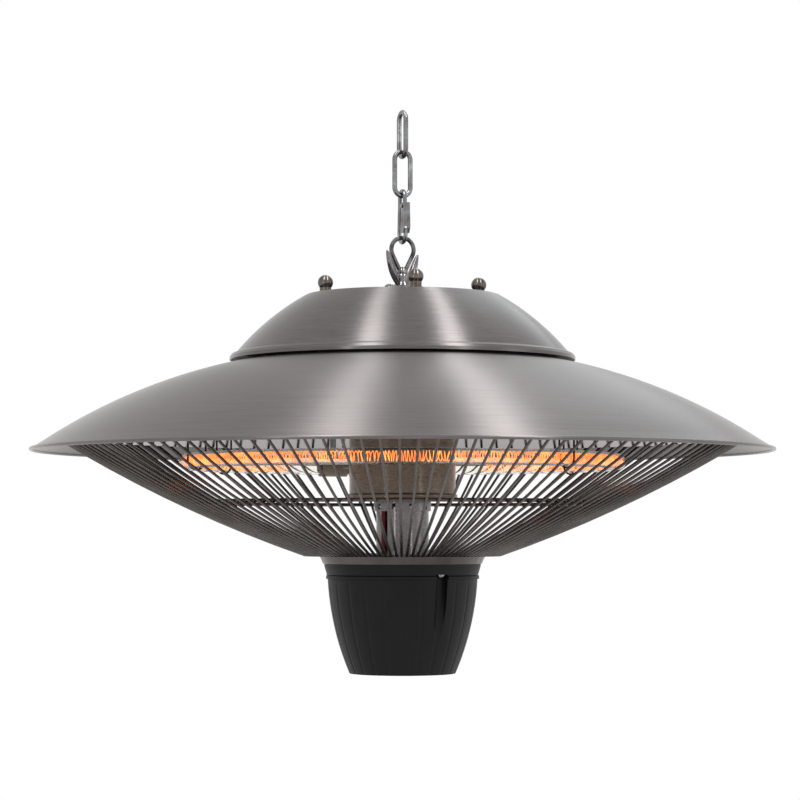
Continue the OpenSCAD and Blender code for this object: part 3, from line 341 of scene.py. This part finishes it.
def woven(name, colour, scale=2600.0):
    """Sleeving with a close diagonal weave, its hollows darker as painted shade between the strands."""
    s = Shader(name, colour, 0.7)
    part = s.node("ShaderNodeSeparateXYZ", {0: s.position()})
    across = s.math("ADD", part.outputs["X"], part.outputs["Y"])
    one = s.math("SINE", s.math("MULTIPLY", s.math("ADD", across, part.outputs["Z"]), scale))
    two = s.math("SINE", s.math("MULTIPLY", s.math("SUBTRACT", across, part.outputs["Z"]), scale))
    weave = s.math("MULTIPLY", one, two)
    # The tone follows the weave's height, so the hollows are painted shade.
    tone = s.between(weave, low=0, high=1, from_low=-1, from_high=1)
    s.feed("Base Color", s.ramp(tone, [(0.1, toned(colour, 0.6)), (0.9, colour)]))
    s.bump(weave, strength=0.4)
    return s.material


def ceramic(name, colour):
    """Fired steatite: matt, faintly speckled, darker where it has been hot."""
    s = Shader(name, colour, 0.6)
    place = s.position()
    speckle = s.noise(place, scale=900.0, detail=2.0)
    cloud = s.noise(place, scale=70.0)
    mixed = s.blend(cloud, speckle, share=0.4)
    s.feed("Base Color", s.ramp(mixed, [(0.35, toned(colour, 0.72)), (0.6, colour)]))
    s.bump(speckle, strength=0.2)
    return s.material


def quartz(name):
    """Clear quartz with faint drawing lines and a warm haze."""
    s = Shader(name, (0.98, 0.95, 0.92), 0.04, Transmission_Weight=1.0, IOR=1.28)
    lines = s.noise(s.around(streaks=3.0, fine=1500.0), scale=1.0, detail=2.0)
    s.feed("Roughness", s.between(lines, low=0.02, high=0.09))
    s.bump(lines, strength=0.05)
    return s.material


def glowing(name):
    """Resistance wire at red heat, hotter in patches."""
    s = Shader(name, (0.30, 0.10, 0.05), 0.5)
    heat = s.noise(s.position(), scale=95.0, roughness=0.65)
    stops = [(0.30, (0.75, 0.10, 0.014)), (0.50, (1.0, 0.21, 0.028)), (0.70, (1.0, 0.42, 0.09))]
    s.feed("Emission Color", s.ramp(heat, stops))
    s.bsdf.inputs["Emission Strength"].default_value = 2.2
    return s.material


def board(name):
    """Circuit board: green mask with copper tracks below it."""
    s = Shader(name, (0.03, 0.16, 0.07), 0.35)
    place = s.position()
    cells = s.node("ShaderNodeTexBrick", {"Vector": place, "Scale": 160.0, "Mortar Size": 0.03})
    tone = s.noise(place, scale=300.0, detail=2.0)
    tracks = s.blend(cells.outputs["Fac"], tone, share=0.5)
    s.feed("Base Color", s.ramp(tracks, [(0.2, (0.02, 0.12, 0.05)), (0.7, (0.06, 0.26, 0.11))]))
    s.bump(tracks, strength=0.3)
    return s.material


# Materials

ZINC_TINTS = ((0.43, (0.19, 0.175, 0.18)), (0.56, (0.19, 0.21, 0.215)))

MATERIALS = {
    # The zinc's and chrome's wide clouds of tone are a painted reflection; the zinc's faint rainbow tints are
    # its passivate.
    "zinc": plated(
        "zinc_plate", (0.10, 0.097, 0.08), (0.36, 0.353, 0.346), roughness=0.12, scale=110.0, tints=ZINC_TINTS
    ),
    "chrome": plated(
        "chrome_plate", (0.045, 0.04, 0.042), (0.25, 0.238, 0.24), roughness=0.10, scale=110.0
    ),
    "nickel": plated("nickel_plate", (0.07, 0.06, 0.052), (0.16, 0.142, 0.126), roughness=0.13),
    # The brushed cap and shade are tinted a little warm all over: a painted reflection of warm surroundings
    # mirrored in the steel.
    "brushed_cap": turned_steel(
        "brushed_cap", (0.105, 0.097, 0.095), (0.175, 0.162, 0.159), roughness=0.34
    ),
    "brushed_shade": turned_steel(
        "brushed_shade", (0.125, 0.114, 0.111), (0.20, 0.185, 0.181), roughness=0.34
    ),
    "mirror_aluminium": turned_steel(
        "mirror_aluminium", (0.25, 0.243, 0.235), (0.37, 0.36, 0.35), roughness=0.20
    ),
    "bronze_steel": turned_steel(
        "bronze_steel", (0.115, 0.096, 0.075), (0.225, 0.193, 0.158), roughness=0.30, grain=900.0
    ),
    "bright_steel": turned_steel(
        "bright_steel", (0.17, 0.165, 0.16), (0.30, 0.293, 0.285), roughness=0.24, grain=900.0
    ),
    "bar_steel": plated(
        "bar_steel", (0.066, 0.057, 0.052), (0.118, 0.104, 0.096), roughness=0.30, scale=20.0, pits=0.01
    ),
    "dark_wire": plated("dark_wire", (0.02, 0.018, 0.016), (0.06, 0.055, 0.05), roughness=0.35),
    "quartz": quartz("clear_quartz"),
    "ceramic": ceramic("fired_ceramic", (0.62, 0.52, 0.38)),
    "lead_sleeve": woven("lead_sleeve", (0.55, 0.52, 0.47)),
    "red_sleeve": woven("red_sleeve", (0.30, 0.03, 0.035)),
    "black_plastic": moulded("black_plastic", (0.0075, 0.0072, 0.0073), roughness=0.48, shine=0.2),
    "red_plastic": moulded("red_plastic", (0.42, 0.03, 0.02), roughness=0.28, scale=900.0, depth=0.1),
    "dark_window": moulded("dark_window", (0.05, 0.008, 0.008), roughness=0.12, scale=500.0, depth=0.03),
    "clear_lens": moulded("clear_lens", (0.62, 0.62, 0.56), roughness=0.12, scale=500.0, depth=0.03),
    "board_green": board("board_green"),
    "relay_blue": moulded("relay_blue", (0.04, 0.12, 0.34), roughness=0.35, scale=900.0, depth=0.15),
    "glowing_coil": glowing("glowing_coil"),
}

for entry in frame["record"]["subparts"]:
    shown = NODES[entry["node"]]
    shown.data.materials.clear()
    shown.data.materials.append(MATERIALS[entry["material_slot"]])


# Mesh building


def mesh_object(name, verts, faces, material):
    mesh = bpy.data.meshes.new(name)
    mesh.from_pydata(verts, [], faces)
    mesh.polygons.foreach_set("use_smooth", [True] * len(mesh.polygons))
    mesh.materials.append(material)
    made = bpy.data.objects.new(name, mesh)
    bpy.context.scene.collection.objects.link(made)
    return made


def polar(radius, turn, height):
    return Vector((radius * math.cos(turn), radius * math.sin(turn), height))


def full_turn(sides):
    return [2 * math.pi * k / sides for k in range(sides)]


def turn_between(a, b):
    """Signed angle from b to a, between minus half a turn and half a turn."""
    return (a - b + math.pi) % (2 * math.pi) - math.pi


def bands(rows, sides, first=0, closed=False):
    """Faces between rows of points that each go once round. Closed, the last row meets the first."""
    faces = []
    for i in range(rows if closed else rows - 1):
        this, after = first + i * sides, first + (i + 1) % rows * sides
        for k in range(sides):
            beside = (k + 1) % sides
            faces.append((this + k, this + beside, after + beside, after + k))
    return faces


def capped_bands(rows, sides):
    last = (rows - 1) * sides
    return [*bands(rows, sides), tuple(reversed(range(sides))), tuple(range(last, last + sides))]


def tube(points, radius, sides):
    """Vertices and faces of a closed round tube along a row of points."""
    verts = []
    side = UP
    for i, point in enumerate(points):
        along = (points[min(i + 1, len(points) - 1)] - points[max(i - 1, 0)]).normalized()
        side = (side - side.dot(along) * along).normalized()
        other = along.cross(side)
        verts += [point + radius * (math.cos(a) * side + math.sin(a) * other) for a in full_turn(sides)]
    return verts, capped_bands(len(points), sides)


def blob(centre, size, verts, faces, rings=5, sides=8):
    """Adds a small squashed ball to a mesh that is being built."""
    first = len(verts)
    for i in range(rings + 1):
        a = math.pi * i / rings
        for b in full_turn(sides):
            offset = (math.sin(a) * math.cos(b), math.sin(a) * math.sin(b), math.cos(a))
            verts.append(centre + Vector([o * s for o, s in zip(offset, size)]))
    faces += bands(rings + 1, sides, first)


def apply_modifiers(made):
    mesh = bpy.data.meshes.new_from_object(made.evaluated_get(bpy.context.evaluated_depsgraph_get()))
    made.modifiers.clear()
    made.data = mesh


# Coil and welds


def loose_coil():
    """One long wire, wound loosely: its turns lean and bunch as a hot element's do."""
    rng = random.Random(COIL_SEED)
    count = COIL_TURNS * COIL_STEPS
    start = LAMP_GAP_TURN + COIL_HALF_GAP
    arc = 2 * math.pi - 2 * COIL_HALF_GAP
    pitch = arc / COIL_TURNS
    ends = range(COIL_TURNS + 2)
    shifts = [rng.uniform(-COIL_SHIFT, COIL_SHIFT) * pitch for _ in ends]
    reaches = [rng.uniform(COIL_LEAST_REACH, 1.0) for _ in ends]
    leans = [rng.uniform(-COIL_LEAN, COIL_LEAN) * pitch for _ in ends]
    points = []
    for i in range(count + 1):
        turn, part = divmod(i, COIL_STEPS)
        t = part / COIL_STEPS
        shift, reach, lean = (row[turn] * (1 - t) + row[turn + 1] * t for row in (shifts, reaches, leans))
        b = 2 * math.pi * t
        a = start + arc * i / count + shift + lean * math.sin(b)
        r = COIL_R * reach
        points.append(polar(LAMP_R + r * math.cos(b), a, LAMP_Z + r * math.sin(b)))
    verts, faces = tube(points, COIL_WIRE_R, COIL_WIRE_SIDES)
    made = mesh_object("loose_coil", verts, faces, MATERIALS["glowing_coil"])
    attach(made, "heater")
    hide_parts("heating_coil")


def weld_beads():
    """Spot welds where each bar crosses the middle ring and the top ring."""
    verts, faces = [], []
    rng = random.Random(WELD_SEED)
    for ring in ("grille_middle_ring", "grille_top_ring"):
        low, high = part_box(ring)
        wire = high.z - low.z
        radius = high.x - wire / 2
        for i in range(BAR_COUNT):
            turn = FRONT + 2 * math.pi * (i - BAR_OFFSET) / BAR_COUNT
            size = rng.uniform(*WELD_SIZES) * BAR_R
            blob(polar(radius, turn, low.z), (size, size, size * WELD_SQUASH), verts, faces)
    made = mesh_object("weld_beads", verts, faces, MATERIALS["bar_steel"])
    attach(made, "heater")


# Control pot


def pot_profile(z):
    """Radius of the pot's outside at a height, and how deep the flutes are there, from 0 to 1."""
    drop = POT_TOP_Z - z
    if drop > POT_COLLAR_H:
        side = POT_BODY_R - POT_ARC_R + math.sqrt(POT_ARC_R**2 - drop**2)
        return side, min(1.0, (drop - POT_COLLAR_H) / FLUTE_RUN_OUT)
    steps = zip(POT_COLLAR, POT_COLLAR[1:])
    (high, r_high), (low, r_low) = next(step for step in steps if drop <= step[1][0])
    return r_high + (r_low - r_high) * (drop - high) / (low - high), 0.0


def pot_outside(a, z):
    """Radius of the pot's outside in a direction at a height, with its flutes and channels."""
    r, flute = pot_profile(z)
    near = min(abs(turn_between(a, centre)) for centre in FLUTE_CENTRES)
    r -= flute * FLUTE_DEPTH * max(0.0, 1 - near / FLUTE_HALF_WIDTH) ** FLUTE_POWER
    if CHANNEL_LOW_Z < z < CHANNEL_HIGH_Z:
        for centre in CHANNEL_CENTRES:
            turn = turn_between(a, centre)
            if abs(turn) < CHANNEL_HALF:
                across = CHANNEL_CIRCLE_R * math.sin(turn)
                back = CHANNEL_CIRCLE_R * math.cos(turn)
                r = min(r, back - math.sqrt(max(0.0, CHANNEL_R**2 - across**2)))
    return r


def pot_angles():
    """Directions of the pot's points: an even row, and closer ones at the flutes and the channels."""
    angles = {2 * math.pi * i / POT_SIDES - math.pi for i in range(POT_SIDES)}
    for centre in FLUTE_CENTRES:
        steps = range(-FLUTE_STEPS, FLUTE_STEPS + 1)
        angles |= {turn_between(centre + FLUTE_HALF_WIDTH * k / FLUTE_STEPS, 0) for k in steps}
    for centre in CHANNEL_CENTRES:
        steps = range(-CHANNEL_STEPS, CHANNEL_STEPS + 1)
        turns = [CHANNEL_HALF * math.sin(math.pi * k / (2 * CHANNEL_STEPS)) for k in steps]
        turns += [-CHANNEL_HALF * CHANNEL_OUTER, CHANNEL_HALF * CHANNEL_OUTER]
        angles |= {turn_between(centre + turn, 0) for turn in turns}
    return sorted(angles)


def pot_heights():
    """Heights of the pot's rows of points, from the top down."""
    depths = [depth for depth, _ in POT_COLLAR[:-1]]
    depths += [POT_COLLAR_H - POT_EDGE, POT_COLLAR_H + POT_EDGE]
    steps = range(1, FLUTE_RUN_OUT_ROWS + 1)
    depths += [POT_COLLAR_H + FLUTE_RUN_OUT * i / FLUTE_RUN_OUT_ROWS for i in steps]
    heights = [POT_TOP_Z - depth for depth in depths]
    side_top = heights[-1]
    heights += [side_top - (side_top - POT_BOTTOM_Z) * i / POT_ROWS for i in range(1, POT_ROWS + 1)]
    for end in (CHANNEL_HIGH_Z, CHANNEL_LOW_Z):
        heights += [end + CHANNEL_EDGE, end - CHANNEL_EDGE]
    return sorted(set(heights), reverse=True)


def fluted_pot():
    """The control pot as one mesh: barrel, stepped collar, shallow flutes and three screw channels."""
    angles, heights = pot_angles(), pot_heights()
    rows = [[pot_outside(a, z) for a in angles] for z in heights]
    verts = []
    for z, row in zip(heights, rows):
        verts += [polar(r, a, z) for r, a in zip(row, angles)]
    for z, row in zip(reversed(heights), reversed(rows)):
        inside = pot_profile(z)[0] - POT_WALL
        verts += [polar(min(inside, r - CHANNEL_WALL), a, z) for r, a in zip(row, angles)]
    faces = [(a, d, c, b) for a, b, c, d in bands(2 * len(heights), len(angles), closed=True)]
    made = mesh_object("fluted_pot", verts, faces, MATERIALS["black_plastic"])
    made.data.set_sharp_from_angle(angle=POT_SHARP)
    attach(made, "heater")
    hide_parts("control_pot")


# Wing nut


def cast_wing(base, turn):
    """One wing with round edges, leaning out and up from the nut's hub."""
    verts = []
    for height, middle, half_width, half_thickness in WING_SECTIONS:
        for a in full_turn(WING_SIDES):
            out, across = middle + half_width * math.cos(a), half_thickness * math.sin(a)
            place = Vector((out, across, height))
            place.rotate(Euler((0, 0, turn)))
            verts.append(place + base)
    made = mesh_object("wing", verts, capped_bands(len(WING_SECTIONS), WING_SIDES), MATERIALS["chrome"])
    made.modifiers.new("smooth", "SUBSURF").levels = WING_SMOOTHING
    apply_modifiers(made)
    return made


def cast_wing_nut():
    """Wing nut as it is cast: a waisted hub with a bore, and two rounded wings joined to it."""
    base = Vector((0, 0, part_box("wing_nut")[0].z))
    verts = [base + polar(r, a, z) for r, z in NUT_OUTLINE for a in full_turn(NUT_SIDES)]
    faces = bands(len(NUT_OUTLINE), NUT_SIDES, closed=True)
    made = mesh_object("cast_wing_nut", verts, faces, MATERIALS["chrome"])
    for turn in (WING_TURN, WING_TURN + math.pi):
        wing = cast_wing(base, turn)
        join = made.modifiers.new("join", "BOOLEAN")
        join.operation = "UNION"
        join.solver = "MANIFOLD"
        join.object = wing
        apply_modifiers(made)
        bpy.data.objects.remove(wing)
    made.modifiers.new("weld", "WELD").merge_threshold = NUT_WELD
    apply_modifiers(made)
    made.data.materials.clear()
    made.data.materials.append(MATERIALS["chrome"])
    made.data.set_sharp_from_angle(angle=NUT_SHARP)
    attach(made, "wing_nut")
    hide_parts("wing_nut")


loose_coil()
weld_beads()
fluted_pot()
cast_wing_nut()


# Studio and camera


def light_path_mix(tree, seen, lit, output_socket):
    """Camera, glossy and transmission rays get the first shader, all others the second."""
    path = tree.nodes.new("ShaderNodeLightPath")
    any_ray = path.outputs["Is Camera Ray"]
    for ray in ("Is Glossy Ray", "Is Transmission Ray"):
        either = tree.nodes.new("ShaderNodeMath")
        either.operation = "MAXIMUM"
        tree.links.new(any_ray, either.inputs[0])
        tree.links.new(path.outputs[ray], either.inputs[1])
        any_ray = either.outputs[0]
    mix = tree.nodes.new("ShaderNodeMixShader")
    tree.links.new(any_ray, mix.inputs[0])
    tree.links.new(lit, mix.inputs[1])
    tree.links.new(seen, mix.inputs[2])
    tree.links.new(mix.outputs[0], output_socket)


def white_world():
    """White where it is seen, and a plain grey light on everything else."""
    world = bpy.data.worlds.new("studio")
    bpy.context.scene.world = world
    world.use_nodes = True
    tree = world.node_tree
    tree.nodes.clear()
    out = tree.nodes.new("ShaderNodeOutputWorld")
    backgrounds = []
    for tone in (1.0, WORLD_GREY):
        made = tree.nodes.new("ShaderNodeBackground")
        made.inputs["Color"].default_value = (tone, tone, tone, 1)
        backgrounds.append(made.outputs[0])
    light_path_mix(tree, backgrounds[0], backgrounds[1], out.inputs["Surface"])


def pale_floor():
    """A floor so far down that a camera below the heater still stands above it."""
    mesh = bpy.data.meshes.new("floor")
    corners = [(-1, -1), (1, -1), (1, 1), (-1, 1)]
    mesh.from_pydata([(FLOOR_HALF * x, FLOOR_HALF * y, FLOOR_Z) for x, y in corners], [], [(0, 1, 2, 3)])
    material = bpy.data.materials.new("pale_floor")
    material.use_nodes = True
    tree = material.node_tree
    bsdf = tree.nodes["Principled BSDF"]
    bsdf.inputs["Base Color"].default_value = (FLOOR_GREY, FLOOR_GREY, FLOOR_GREY, 1)
    bsdf.inputs["Roughness"].default_value = FLOOR_ROUGHNESS
    white = tree.nodes.new("ShaderNodeEmission")
    surface = tree.nodes["Material Output"].inputs["Surface"]
    light_path_mix(tree, white.outputs[0], bsdf.outputs[0], surface)
    mesh.materials.append(material)
    made = bpy.data.objects.new("floor", mesh)
    bpy.context.scene.collection.objects.link(made)


def softbox(name, place, along, size, watts, colour=WHITE):
    """A lamp of the given width and length that faces the heater, its length in the direction `along`."""
    data = bpy.data.lights.new(name, "AREA")
    data.shape = "RECTANGLE"
    data.size, data.size_y = size
    data.energy = watts
    data.color = colour
    made = bpy.data.objects.new(name, data)
    bpy.context.scene.collection.objects.link(made)
    away = (place - MIDDLE).normalized()
    length = (along - along.dot(away) * away).normalized()
    turn = Matrix((length.cross(away), length, away)).transposed()
    made.matrix_world = Matrix.Translation(place) @ turn.to_4x4()


def strip_place(turn, rise):
    """Where a lamp has to stand so that steel brushed round the axis shows it at a turn from the front.

    Such steel shows a lamp wherever the light bends to the viewer across the brushing.
    """
    back, up = math.cos(rise), math.sin(rise)
    return MIDDLE + STUDIO_R * Vector((math.tan(turn) * (1 - back), back, up)).normalized()


def strip_lamp(name, turn, strengths):
    """A row of lamps from low behind the heater to above it, as wide as the steel shows them at one turn."""
    turn = math.radians(turn)
    rises = [math.radians(rise) for rise in STRIP_RISES]
    for i, (low, high, strength) in enumerate(zip(rises, rises[1:], strengths)):
        middle = (low + high) / 2
        along = strip_place(turn, high) - strip_place(turn, low)
        width, length = STRIP_WIDTH * (1 - math.cos(middle)), along.length
        watts = strength * math.pi * width * length
        softbox(f"{name}_{i}", strip_place(turn, middle), along, (width, length), watts)


def camera():
    data = bpy.data.cameras.new("camera")
    data.sensor_width = SENSOR_MM
    data.lens = FOCAL_PX / IMAGE_PX * SENSOR_MM
    made = bpy.data.objects.new("camera", data)
    bpy.context.scene.collection.objects.link(made)
    made.location = (0, -CAMERA_DISTANCE, RIM_Z - CAMERA_BELOW_RIM)
    aim = Vector((-AIM_LEFT, 0, -AIM_BELOW_CHAIN))
    made.rotation_euler = (aim - made.location).to_track_quat("-Z", "Y").to_euler()
    bpy.context.scene.camera = made


white_world()
pale_floor()
for strip in STRIPS:
    strip_lamp(*strip)
for name, direction, size, watts, colour in SOFTBOXES:
    softbox(name, MIDDLE + STUDIO_R * Vector(direction), UP, size, watts, colour)
camera()
bpy.context.scene.view_settings.view_transform = "Standard"
